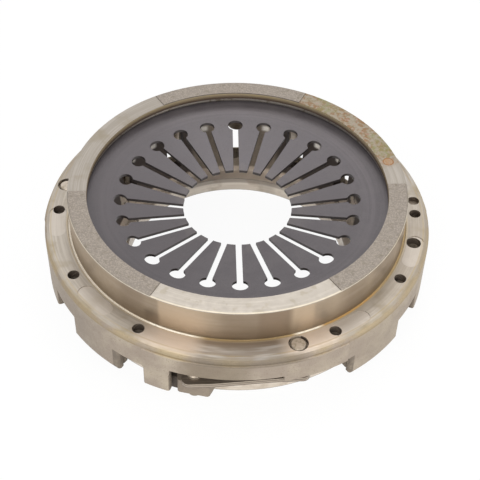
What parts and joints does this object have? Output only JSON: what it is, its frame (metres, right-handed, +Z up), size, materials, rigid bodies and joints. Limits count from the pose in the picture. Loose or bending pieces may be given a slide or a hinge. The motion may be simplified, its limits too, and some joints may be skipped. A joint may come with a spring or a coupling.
{
  "type": "clutch pressure plate",
  "caption": "Clutch cover with a fingered diaphragm spring under its raised ring, a ring-shaped pressure plate below and drive straps between cover and plate.",
  "frame": {"origin": "on the clutch axis, in the plane of the cover's feet, where they stand on the flywheel", "axes": "+Z up along the clutch axis, from the flywheel towards the raised ring; +Y through the middle bolt of the second third"},
  "size_m": [0.3025, 0.3018, 0.0851],
  "materials": {
    "cover_casting": "machined on top, cast elsewhere, with a thin yellowish passivation",
    "bright_wire": "drawn spring wire",
    "spring_steel": "dark shot-peened and phosphated spring steel, satin",
    "plate_casting": "grey iron, cast skin with machined friction face, bore and rim",
    "strap_steel": "rolled spring steel strip",
    "rivet_steel": "cold-headed plain steel"
  },
  "bodies": {
    "cover_assembly": {"cover": "cover_casting", "fulcrum_ring": "bright_wire", "diaphragm_spring": "spring_steel", "strap_1_leaf_1": "strap_steel", "strap_1_leaf_2": "strap_steel", "strap_1_leaf_3": "strap_steel", "strap_1_leaf_4": "strap_steel", "strap_2_leaf_1": "strap_steel", "strap_2_leaf_2": "strap_steel", "strap_2_leaf_3": "strap_steel", "strap_2_leaf_4": "strap_steel", "strap_3_leaf_1": "strap_steel", "strap_3_leaf_2": "strap_steel", "strap_3_leaf_3": "strap_steel", "strap_3_leaf_4": "strap_steel", "strap_1_cover_rivet": "rivet_steel", "strap_2_cover_rivet": "rivet_steel", "strap_3_cover_rivet": "rivet_steel"},
    "plate_assembly": {"pressure_plate": "plate_casting", "strap_1_lug_rivet": "rivet_steel", "strap_2_lug_rivet": "rivet_steel", "strap_3_lug_rivet": "rivet_steel"}
  },
  "joints": [
    {"name": "plate_lift", "type": "slide", "parent": "cover_assembly", "child": "plate_assembly", "axis": [0, 0, 1], "range_m": [0, 0.0015], "stiffness_N_per_m": 60000, "springref_m": -0.005, "deforming": ["diaphragm_spring", "strap_1_leaf_1", "strap_1_leaf_2", "strap_1_leaf_3", "strap_1_leaf_4", "strap_2_leaf_1", "strap_2_leaf_2", "strap_2_leaf_3", "strap_2_leaf_4", "strap_3_leaf_1", "strap_3_leaf_2", "strap_3_leaf_3", "strap_3_leaf_4"]}
  ]
}
